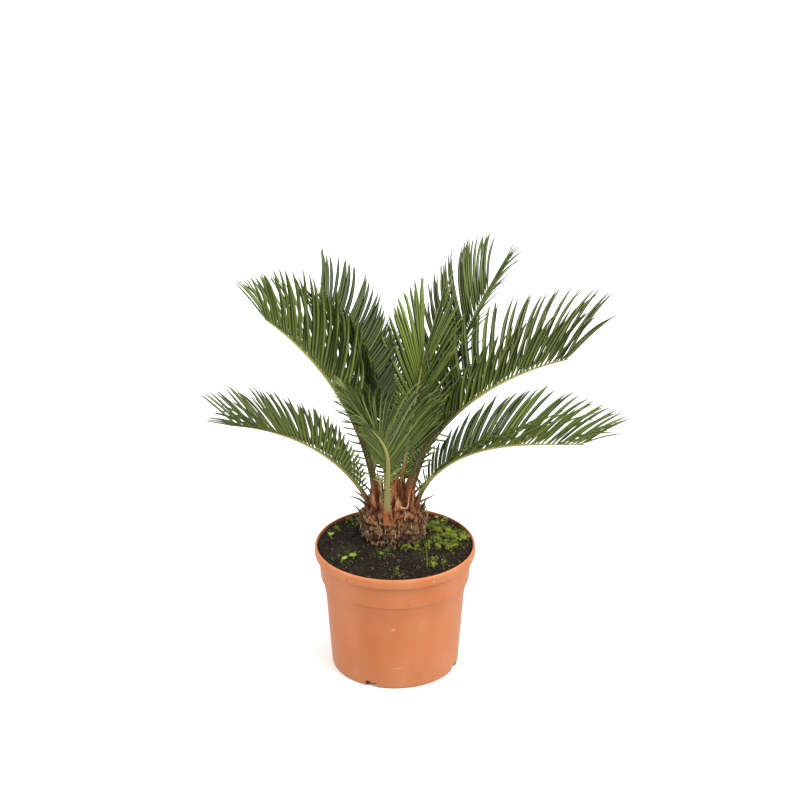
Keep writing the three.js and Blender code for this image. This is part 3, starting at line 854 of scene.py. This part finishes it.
def leaflet_pattern():
    bm = bmesh.new()
    steps = len(LEAFLET_COLUMNS) - 1
    bmesh.ops.create_grid(bm, x_segments=LEAFLET_ROWS, y_segments=steps, size=0.5)
    bmesh.ops.solidify(bm, geom=bm.faces[:], thickness=1)
    low = min(vert.co.z for vert in bm.verts)
    for vert in bm.verts:
        column = round((vert.co.y + 0.5) * steps)
        vert.co = (vert.co.x + 0.5, LEAFLET_COLUMNS[column], vert.co.z - low)
    bmesh.ops.recalc_face_normals(bm, faces=bm.faces)
    for face in bm.faces:
        middle = face.calc_center_median()
        if abs(middle.y) > 0.5:
            face.material_index = MARGIN
        elif abs(middle.y) < 0.1:
            face.material_index = MIDRIB
        else:
            face.material_index = TOP if face.normal.z > 0.5 else UNDER
        if middle.x > 1 - 1.2 / LEAFLET_ROWS:
            face.material_index += KINDS
    return mesh_from("leaflet_pattern", bm)


def leaflet_width(u, shoulder):
    base = np.clip(0.3 + 5 * u, 0, 1)
    taper = np.clip((u - shoulder) / (1 - shoulder), 0, 1)
    return base * (1 - 0.96 * taper ** 2)


def leaflet_points(pattern, row, root, out, forward, over, length, width, curl):
    u, v, layer = pattern[:, 0], pattern[:, 1], pattern[:, 2]
    stations = LEAFLET_ROWS * 2
    lines, alongs = [root], [out]
    point, along = root.copy(), out.copy()
    for i in range(stations):
        growing = 2 * (i + 0.5) / stations ** 2
        late = 4 * ((i + 0.5) / stations) ** 3 / stations
        bend = math.radians(row["bend"]) * growing * curl[0]
        droop = math.radians(row["droop"] * growing * curl[1] + curl[3] * late)
        along = along * math.cos(bend) + forward * math.sin(bend)
        along = along * math.cos(droop) - over * math.sin(droop)
        point = point + along * (length / stations)
        lines.append(point)
        alongs.append(along / np.linalg.norm(along))
    index = np.rint(u * stations).astype(int)
    centre, along = np.array(lines)[index], np.array(alongs)[index]
    upward = over[None] - along * (along @ over)[:, None]
    upward /= np.linalg.norm(upward, axis=1)[:, None]
    twist = np.radians(curl[2] * u)
    across = np.cross(upward, along)
    across, upward = (across * np.cos(twist)[:, None] + upward * np.sin(twist)[:, None],
                      upward * np.cos(twist)[:, None] - across * np.sin(twist)[:, None])
    half = width / 2 * leaflet_width(u, row["shoulder"])
    arch = -2 * LEAFLET_FOLD * np.abs(v) ** 1.8 * half
    keel = np.where(np.abs(v) < 0.2, 0.12 * LEAFLET_THICKNESS, 0)
    rise = arch + (layer - 0.5) * LEAFLET_THICKNESS * (1 - 0.72 * u) + keel * (2 * layer - 1)
    return (centre + across * (v * half)[:, None] + upward * rise[:, None]) * MM


def leaflets_of(rib, row, hand, rng):
    frond = rib.frond
    start = row["start"]
    pairs = row["pairs"]
    pitch = (1 - start) * frond["length"] / pairs
    for i in range(pairs):
        share = (i + 0.5) / pairs
        swell = 0.12 + 0.88 * math.sin(math.pi / 2 * min(1, share / row["full"]))
        fade = 1 - (1 - row["tip"]) * max(0, (share - 0.5) / 0.5) ** 2
        at = start + (0.995 - start) * (share + rng.uniform(-0.12, 0.12) / pairs)
        along, up, side = rib.directions(at)
        opened = 1 - 0.75 * min(1, max(0, (share - row["folded"]) / 0.12))
        angle = math.radians(through_three(row["spread"], share) * opened + rng.gauss(0, row["scatter"]))
        raised = math.radians(through_three(row["lift"], share) + rng.gauss(0, 2.2))
        spiny = share < row["spiny"]
        if spiny and i % 2:
            continue
        if spiny:
            raised = math.radians(row["spine_lift"] - hand * through_three(frond["roll"], at))
            angle = math.radians(rng.gauss(58, 5))
        wing = side * hand * math.cos(raised) + up * math.sin(raised)
        out = along * math.cos(angle) + wing * math.sin(angle)
        forward = (along - out * along.dot(out)).normalized()
        over = out.cross(forward) * hand
        if over.dot(up) < 0:
            over = -over
        length = row["leaflet"] * swell * fade * rng.uniform(0.96, 1.02)
        slim = min(1, (length / 62) ** 0.6) * (1.5 - 0.8 * share) * row["broad"]
        if spiny:
            length, slim = rng.uniform(17, 22), 0.55
        root = rib.point(at) + side * hand * rib.half_side(at) * 0.55 + up * rib.half_side(at) * 0.35
        hook = row["hook"] * rng.uniform(0.3, 1.2) if share < row["hooked"] else rng.gauss(10, 12)
        width = min(LEAFLET_WIDTH * slim, max(2 * row["broad"], 1.05 * pitch * math.sin(angle) + 1.2))
        yield root, out, forward, over, length, width, hook, share < row["deep"]


def feather(rib, pattern_mesh, materials):
    frond = rib.frond
    rng = random.Random(frond["name"])
    pattern, loops, starts, kinds = arrays_of(pattern_mesh)
    points, slots = [], []
    tones = len(LEAF_GREENS)
    for hand, side in ((1, "left"), (-1, "right")):
        row = {**EVERY_ROW, **frond, **frond[side]}
        for root, out, forward, over, length, width, hook, deep in leaflets_of(rib, row, hand, rng):
            curl = (rng.gauss(1, 0.15), rng.gauss(1, 0.4), rng.gauss(0, 5), hook)
            vectors = [np.array(vector) for vector in (root, out, forward, over)]
            points.append(leaflet_points(pattern, row, *vectors, length, width, curl))
            # Leaflets below a row's deep share all take the darkest green: painted shade deep in the crown.
            tone = 0 if deep else rng.choices(range(tones), row["tones"])[0]
            tip = tones + 2 if rng.random() < 0.06 else tone
            # On rows in shade the midribs and undersides take the next leaf green instead of their pale
            # colours: painted shade.
            midrib, under = (tone + 1, tone + 1) if row["painted_shade"] else (tones, tones + 1)
            # Margins one green darker than the blade, except on fine leaflets: painted shade along the
            # rolled edges.
            edge = tone if row["broad"] < 0.6 else max(0, tone - 1)
            look = np.array([tone, midrib, under, edge, tip, tip, under, tip])
            slots.append(look[kinds])
    piece = arrayed_piece(frond["name"] + "_leaflets", points, loops, starts, slots, materials, 50)
    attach(piece, "root")
    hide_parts(frond["name"])


# Thorns: small pale pricks along both edges of a petiole, below the first leaflets.
def set_thorns(ribs, material):
    bm = bmesh.new()
    bmesh.ops.create_cone(bm, segments=5, radius1=0.6, radius2=0.08, depth=1, cap_ends=True,
                          matrix=Matrix.Translation((0, 0, 0.5)))
    template = mesh_from("thorn", bm)
    rng = random.Random(8)
    placements = []
    for rib in ribs:
        frond = rib.frond
        count = int(frond["start"] * frond["length"] / THORN_PITCH)
        for i, hand in [(i, hand) for i in range(2, count) for hand in (-1, 1)]:
            at = (i + rng.uniform(-0.3, 0.3)) * THORN_PITCH / frond["length"]
            along, up, side = rib.directions(at)
            edge = rib.point(at) + side * hand * rib.half_side(at) * 0.9
            out = side * hand + along * rng.uniform(0.3, 0.8) + up * rng.uniform(-0.2, 0.3)
            turn = out.to_track_quat("Z", "Y").to_matrix().to_4x4()
            size = sized(1, 1, rng.uniform(1.6, 3.2))
            placements.append((Matrix.Translation(edge * MM) @ turn @ size, 0))
    thorns = copies_of("petiole_thorns", template, placements, [material], 0)
    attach(thorns, "root")


def grow_fronds():
    skins = {share: rib_skin(f"rib_skin_{i + 1}", share)
             for i, share in enumerate((UNBROWNED, 0.5, 1.2))}
    greens = [waxy_leaf(f"leaf_green_{i + 1}", colour, 0.4) for i, colour in enumerate(LEAF_GREENS)]
    midrib = waxy_leaf("leaf_midrib", LEAF_MIDRIB, 0.45)
    under = waxy_leaf("leaf_underside", LEAF_UNDERSIDE, 0.6)
    brown = waxy_leaf("leaf_tip_brown", LEAF_TIP_BROWN, 0.7)
    thorn = waxy_leaf("thorn_skin", THORN_PALE, 0.5)
    pattern = leaflet_pattern()
    ribs = [Rib(frond) for frond in FRONDS]
    set_thorns(ribs, thorn)
    for rib in ribs:
        extrude_rib(rib, skins[BROWNED.get(rib.frond["name"], UNBROWNED)])
        feather(rib, pattern, greens + [midrib, under, brown])


grow_fronds()


# The trunk: a squat starchy bulb whose skin is the lumpy, frayed stumps of dead leaf bases,
# with upright woolly sheaths round the petioles and a few spines left on withered petioles.

BELLY = 38
BELLY_HEIGHT = 179
TRUNK_TOP = 212.5
TRUNK_FOOT = 32
BULB_TURNS = 240
BULB_RINGS = 60
BULB_BOTTOM = 150
LUMP_SIZE = 10
FLAPS = 70
FIBRES = 380
GOLDEN_ANGLE = math.radians(137.508)
BULB_BROWNS = ("#4A392C", "#997350")
BULB_RUSTS = ("#6B3019", "#A86238")
FRAY_DARK = "#2B1C13"
FRAY_PALE = "#C4A27A"
CREASE_PAINTED_SHADE = "#1A110B"
FLAP_STREAK = "#A58B6C"
FLAP_COLOURS = ["#5A4130", "#86644A", "#AC8A64", "#7A6654", "#7A4A30"]
SHEATH_COLOURS = [("#66341C", "#CE8452"), ("#8A5032", "#DCAA7C"), ("#33200F", "#7A4A2A"),
                  ("#7A5638", "#C8A070")]
FIBRE_COLOURS = ["#A08058", "#543C2A", "#BFA37A"]
SPINE_COLOURS = ["#46401F", "#6B4A2C", "#B98F62"]
# Rings of sheaths: distance from the middle, number, height, steepness and length.
SHEATH_RINGS = ((11, 9, 202, 86, 37), (20, 14, 197, 79, 27), (28, 18, 191, 68, 17),
                (33, 16, 186, 60, 12))
# Spines and loose strands, each from its root to its tip.
SPINES = [
    ((-31, 8, 196), (-38, 8, 206), (-45, 8, 210), (-54, 8, 213)),
    ((-31, 8, 202), (-36, 8, 210), (-43, 8, 216), (-49, 8, 220)),
    ((-36, 8, 184), (-40, 8, 190), (-45, 8, 198), (-49, 8, 201)),
    ((-26, 8, 208), (-26, 8, 220), (-26, 8, 228), (-29, 8, 238)),
    ((-24, 8, 210), (-28, 8, 217), (-33, 8, 225), (-40, 8, 230)),
    ((24, 8, 200), (30, 8, 206), (40, 8, 210), (48, 8, 215)),
    ((30, 8, 192), (33, 8, 198), (35, 8, 206), (39, 8, 212)),
    ((24, 8, 202), (29, 8, 210), (35, 8, 223), (40, 8, 228)),
    ((22, 38, 200), (30, 44, 207), (38, 50, 212), (46, 56, 216)),
    ((-14, 44, 198), (-18, 52, 208), (-21, 58, 215), (-22, 66, 219)),
    ((4, 48, 190), (6, 55, 198), (7, 62, 202), (7, 69, 205)),
]
STRANDS = [
    ((6, -16, 210), (12, -18, 208), (15.5, -17, 211), (16, -16, 222), (18, -16, 234)),
    ((14, -15, 188), (10, -18, 194), (14, -17, 201), (11, -16, 207)),
    ((-24, -12, 186), (-18, -17, 190), (-14, -19, 188), (-10, -20, 191)),
]


BULB_SIDE = [
    (TRUNK_FOOT, BULB_BOTTOM), (TRUNK_FOOT + 1, BULB_BOTTOM + 10), (BELLY - 2, BELLY_HEIGHT - 9),
    (BELLY, BELLY_HEIGHT), (BELLY - 2, BELLY_HEIGHT + 8), (BELLY - 5, BELLY_HEIGHT + 14),
    (BELLY - 12, TRUNK_TOP - 14.5), (BELLY - 20, TRUNK_TOP - 9), (BELLY - 30, TRUNK_TOP - 3.5),
    (BELLY - 36, TRUNK_TOP - 0.5),
]


def bulb_radius(height):
    radii, heights = zip(*BULB_SIDE)
    return float(np.interp(height, heights, radii))


# Dead leaf base and fibre felt: dry, matt, streaked every millimetre or two.
def dry_felt(name, dark, light):
    felt = new_material(name, dark, Roughness=0.95, Specular_IOR_Level=0.2)
    streaks = mottling(felt, drawn_up(felt, object_place(felt), 0.3), 420, Detail=6, Roughness=0.65)
    colour = blend_colours(felt, spread_out(felt, streaks, 0.38, 0.66), dark, light)
    link_shader(felt, Base_Color=colour, Normal=relief_of(felt, streaks, 0.8, 0.001))
    return felt


# Bulb skin: grey-brown below and rust above, each lump in its own tone, frayed into upright
# fibres, and darkened nearly to black in the creases: painted shade. The map holds the crease
# and the lump's tone.
def frayed_skin():
    skin = new_material("frayed_skin", "#6A4C35", Roughness=0.95, Specular_IOR_Level=0.15)
    crease, tone = map_parts(skin, "relief")
    place = object_place(skin)
    frays = mottling(skin, drawn_up(skin, place, 0.4), 460, Detail=6, Roughness=0.7, Distortion=0.7)
    height = add_node(skin, "ShaderNodeSeparateXYZ", links={"Vector": place}).outputs["Z"]
    high = reckon(skin, "MULTIPLY_ADD", mottling(skin, place, 120, Detail=4), 0.05, height)
    rust = blend_colours(skin, tone, *BULB_RUSTS)
    brown = blend_colours(skin, tone, *BULB_BROWNS)
    colour = blend_colours(skin, spread_out(skin, high, 0.209, 0.224), brown, rust)
    colour = blend_colours(skin, spread_out(skin, frays, 0.5, 0.36, 0, 0.7), colour, FRAY_DARK)
    colour = blend_colours(skin, spread_out(skin, frays, 0.58, 0.7, 0, 0.7), colour, FRAY_PALE)
    # Painted shade: the creases between the lumps are darkened nearly to black.
    colour = blend_colours(skin, spread_out(skin, crease, 0.45, 0.05, 0, 0.92), colour, CREASE_PAINTED_SHADE)
    link_shader(skin, Base_Color=colour, Normal=relief_of(skin, frays, 0.9, 0.001))
    return skin


def turn_bulb():
    heights = np.linspace(BULB_BOTTOM, TRUNK_TOP - 0.5, BULB_RINGS + 1)
    side = [(bulb_radius(height), float(height)) for height in heights]
    bm = spun([(0, BULB_BOTTOM)] + side + [(0, TRUNK_TOP)], BULB_TURNS)
    relief = {}
    for vert in bm.verts:
        x, y, z = vert.co / MM
        reach = math.hypot(x, y)
        spot = Vector((x, y, 1.2 * z)) / LUMP_SIZE
        spot += noise.noise_vector(spot * 1.3) * 0.35
        distances, cells = noise.voronoi(spot)
        crease = min(1, (distances[1] - distances[0]) / 0.6)
        overlap = min(max(spot.z - cells[0].z, -0.5), 0.5)
        swell = 3.4 * crease ** 0.5 + 2.0 * overlap + 1.5 * noise.fractal(spot * 2.5, 1.0, 2.0, 4) - 1.5
        if reach > 3 and z > BULB_BOTTOM + 1:
            vert.co += Vector((x, y, 0)) / reach * swell * MM
        vert.co += Vector((*TRUNK_PLACE, 0)) * MM
        relief[vert] = (crease, 0.5 + 0.9 * noise.noise(cells[0] * 5.3))
    layer = bm.loops.layers.uv.new("relief")
    for face in bm.faces:
        for loop in face.loops:
            loop[layer].uv = relief[loop.vert]
    bulb = new_piece("trunk_bulb", mesh_from("trunk_bulb", bm), [frayed_skin()])
    smooth_all(bulb.data, 80)
    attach(bulb, "root")
    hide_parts("trunk")


def on_bulb(turn, radius, height, slope, spin):
    """Z points out of the trunk at a slope, X lies across, Y is the outer face."""
    level = Vector((math.cos(turn), math.sin(turn), 0))
    place = Vector((*TRUNK_PLACE, height)) + level * radius
    out = level * math.cos(slope) + Vector((0, 0, math.sin(slope)))
    across = Vector((-math.sin(turn), math.cos(turn), 0))
    basis = Matrix((across, out.cross(across), out)).transposed().to_4x4()
    return Matrix.Translation(place * MM) @ basis @ Matrix.Rotation(spin, 4, "Z")


def curved_blade(rows, columns, curve, cup, point, ragged):
    """A pointed strip of unit size along Z that curls toward Y and is cupped across."""
    bm = bmesh.new()
    bmesh.ops.create_grid(bm, x_segments=columns, y_segments=rows, size=0.5)
    bmesh.ops.solidify(bm, geom=bm.faces[:], thickness=0.1)
    for vert in bm.verts:
        along, across, deep = vert.co.y + 0.5, vert.co.x * 2, vert.co.z
        half = 0.5 * (1 - along ** point) + 0.02
        back = curve * along ** 2 - cup * across ** 2 * half + deep * (1 - 0.7 * along)
        shift = noise.noise_vector(Vector((across, along, 0)) * 2.6) * ragged
        vert.co = Vector((across * half, back, along)) + shift
    bmesh.ops.recalc_face_normals(bm, faces=bm.faces)
    return mesh_from("blade", bm)


def dress_trunk(name, template, placements, materials, smooth):
    piece = copies_of(name, template, placements, materials, smooth)
    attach(piece, "root")
    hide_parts("trunk")


# Leaf bases: the dead, felted stumps that stand out from the bulb, in order up a spiral.
def set_flaps():
    rng = random.Random(31)
    placements = []
    for i in range(FLAPS):
        share = (i + 0.5) / FLAPS
        height = 158 + 38 * share + rng.uniform(-1.5, 1.5)
        turn = i * GOLDEN_ANGLE + rng.gauss(0, 0.25)
        slope = math.radians(rng.gauss(62, 24))
        width, tall = rng.uniform(2, 9), rng.uniform(3, 10)
        place = on_bulb(turn, bulb_radius(height) + 0.5, height, slope, rng.gauss(0, 0.7))
        weights = (3, 3, 2, 3, 0) if share < 0.5 else (3, 3, 2, 2, 2)
        placements.append((place @ sized(width, 0.4 * tall, tall), rng.choices(range(5), weights)[0]))
    tones = [dry_felt(f"leaf_base_{i + 1}", colour, FLAP_STREAK)
             for i, colour in enumerate(FLAP_COLOURS)]
    dress_trunk("leaf_base_flaps", curved_blade(4, 3, 0.3, 0.6, 4, 0.26), placements, tones, 50)


# Sheaths: upright woolly scales that close round the feet of the fronds.
def set_sheaths():
    rng = random.Random(12)
    placements = []
    for radius, count, height, steepness, tall in SHEATH_RINGS:
        for i in range(count):
            turn = math.tau * (i + rng.uniform(-0.35, 0.35)) / count
            slope = math.radians(steepness + rng.gauss(0, 5))
            long = tall * rng.uniform(0.7, 1.1)
            size = sized(rng.uniform(7, 11), 0.3 * long, long)
            place = on_bulb(turn, radius + rng.gauss(0, 1), height + rng.gauss(0, 2), slope,
                            rng.gauss(0, 0.35))
            placements.append((place @ size, rng.choices(range(4), (4, 3, 3, 2))[0]))
    tones = [dry_felt(f"woolly_sheath_{i + 1}", *pair) for i, pair in enumerate(SHEATH_COLOURS)]
    dress_trunk("woolly_sheaths", curved_blade(8, 4, 0.1, 0.6, 2.6, 0.07), placements, tones, 50)


# Fibres: loose hairs of felt that stick up and hang down all over the bulb.
def set_fibres():
    rng = random.Random(77)
    placements = []
    for _ in range(FIBRES):
        height = rng.uniform(156, 202)
        slope = math.radians(rng.choice((78, 78, -70)) + rng.gauss(0, 16))
        tall = rng.uniform(4, 12)
        place = on_bulb(rng.uniform(0, math.tau), bulb_radius(height) + 2.2, height, slope,
                        rng.uniform(0, math.tau))
        size = sized(rng.uniform(0.4, 0.9), tall * rng.uniform(-0.4, 0.4), tall)
        placements.append((place @ size, rng.randrange(3)))
    dress_trunk("trunk_fibres", curved_blade(5, 1, 0.3, 0.0, 2.5, 0.0), placements,
                plain_tones("fibre", FIBRE_COLOURS, Roughness=0.85), 0)


# Spines: the bare ends of withered fronds, and a few strands of root and felt.
def set_spines():
    strands = [(spine, 3.0, i % 2) for i, spine in enumerate(SPINES)]
    strands += [(strand, 1.8, 2) for strand in STRANDS]
    skins = plain_tones("spine_skin", SPINE_COLOURS, Roughness=0.8)
    spines = drawn_strands("bare_spines", strands, skins)
    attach(spines, "root")
    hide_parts("trunk")


turn_bulb()
set_flaps()
set_sheaths()
set_fibres()
set_spines()
